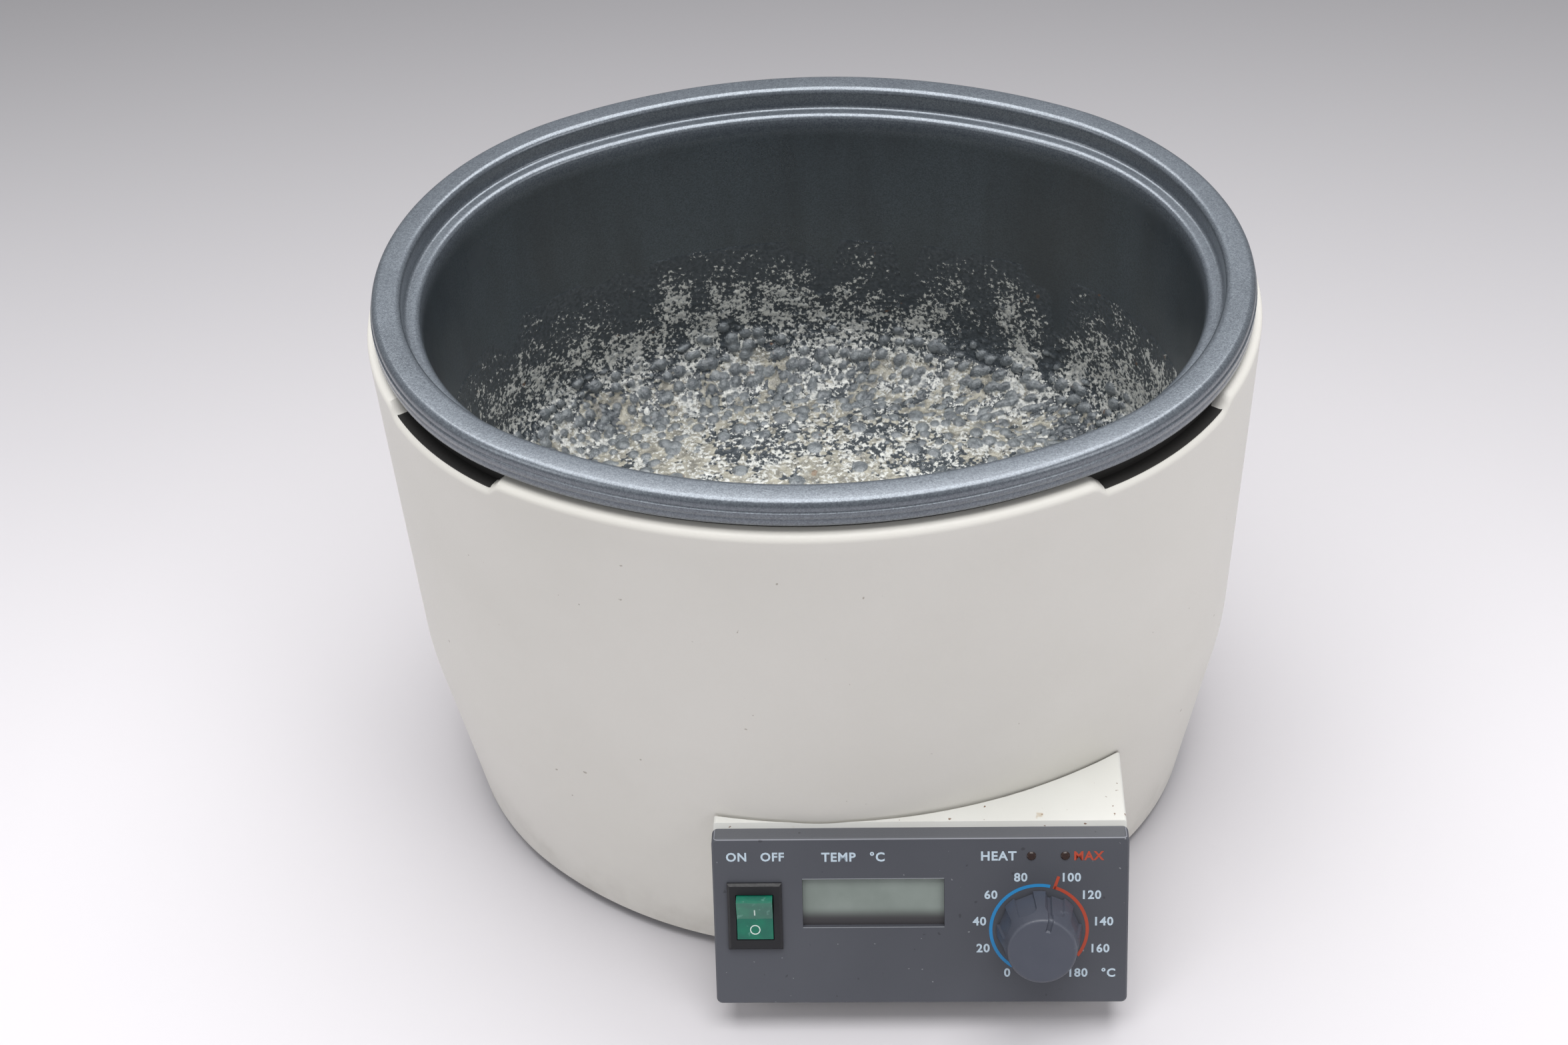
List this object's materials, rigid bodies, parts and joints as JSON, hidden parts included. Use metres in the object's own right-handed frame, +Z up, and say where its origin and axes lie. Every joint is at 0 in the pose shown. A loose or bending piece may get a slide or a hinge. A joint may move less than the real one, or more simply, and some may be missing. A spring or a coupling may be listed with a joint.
{
  "type": "laboratory heating bath",
  "caption": "Oval electrically heated laboratory bath with a coated metal pan in an insulated plastic body and a tilted front console with dial, display and rocker switch.",
  "frame": {"origin": "on the bench under the middle of the whole outline's box", "axes": "+Z up, -Y to the front where the console is, +X to the right seen from the front"},
  "size_m": [0.291, 0.2772, 0.2095],
  "materials": {
    "body_plastic": "fine-grained, lightly soiled",
    "console_plastic": "smooth, stained on the ledge",
    "black_plastic": "moulded",
    "coated_aluminium": "baked metallic coating, blistered and limed inside",
    "seal_rubber": "soft",
    "foot_rubber": "matt",
    "heater_steel": "heat-tinted",
    "plate_aluminium": "plain rolled",
    "glass_wool": "felted",
    "sheet_steel": "zinc-plated",
    "screw_steel": "zinc-plated",
    "bezel_paint": "satin, slate",
    "display_window": "clear over grey-green",
    "display_module": "unlit display",
    "lamp_lens": "dark tinted lens",
    "switch_black": "moulded",
    "rocker_green": "translucent",
    "knob_plastic": "satin, worn",
    "nut_brass": "plain",
    "circuit_board": "solder mask",
    "transformer_iron": "varnished",
    "relay_case": "moulded",
    "fuse_glass": "clear tube",
    "button_red": "moulded"
  },
  "bodies": {
    "bath": {"housing": "body_plastic", "console_housing": "console_plastic", "base_plate": "black_plastic", "pan": "coated_aluminium", "pan_seal": "seal_rubber", "foot_front_left": "foot_rubber", "foot_front_right": "foot_rubber", "foot_back_left": "foot_rubber", "foot_back_right": "foot_rubber", "heating_element": "heater_steel", "heater_clamp": "plate_aluminium", "insulation_pad": "glass_wool", "insulation_band": "glass_wool", "heat_shield": "sheet_steel", "pan_studs": "screw_steel", "stud_nuts": "screw_steel", "shield_pillars": "screw_steel", "temperature_probe": "heater_steel", "front_bezel": "bezel_paint", "display_window": "display_window", "display_module": "display_module", "lamp_heating": "lamp_lens", "lamp_limit": "lamp_lens", "switch_frame": "switch_black", "potentiometer": "switch_black", "potentiometer_nut": "nut_brass", "control_board": "circuit_board", "board_spacers": "black_plastic", "power_board": "circuit_board", "board_posts": "screw_steel", "transformer": "transformer_iron", "relay": "relay_case", "terminal_block": "relay_case", "heatsink": "plate_aluminium", "appliance_inlet": "switch_black", "inlet_pins": "nut_brass", "inlet_screws": "screw_steel", "cutout_thermostat": "switch_black", "cutout_nut": "screw_steel", "base_screws": "screw_steel"},
    "switch_rocker": {"power_rocker": "rocker_green"},
    "dial": {"temperature_knob": "knob_plastic", "knob_spindle": "screw_steel"},
    "fuse_tray": {"fuse_drawer": "switch_black", "fuse": "fuse_glass"},
    "reset_push": {"reset_button": "button_red"}
  },
  "joints": [
    {"name": "rocker_tilt", "type": "hinge", "parent": "bath", "child": "switch_rocker", "pos_m": [-0.0219, -0.11676, 0.04145], "axis": [-1, 0, 0], "range_deg": [0, 22]},
    {"name": "dial_turn", "type": "hinge", "parent": "bath", "child": "dial", "pos_m": [0.0723, -0.11908, 0.03634], "axis": [0, -0.8788, 0.4772], "range_deg": [-132.5, 161.5]},
    {"name": "fuse_tray_slide", "type": "slide", "parent": "bath", "child": "fuse_tray", "axis": [0, 1, 0], "range_m": [0, 0.016]},
    {"name": "reset_travel", "type": "slide", "parent": "bath", "child": "reset_push", "axis": [0, -1, 0], "range_m": [0, 0.0015], "stiffness_N_per_m": 300}
  ]
}
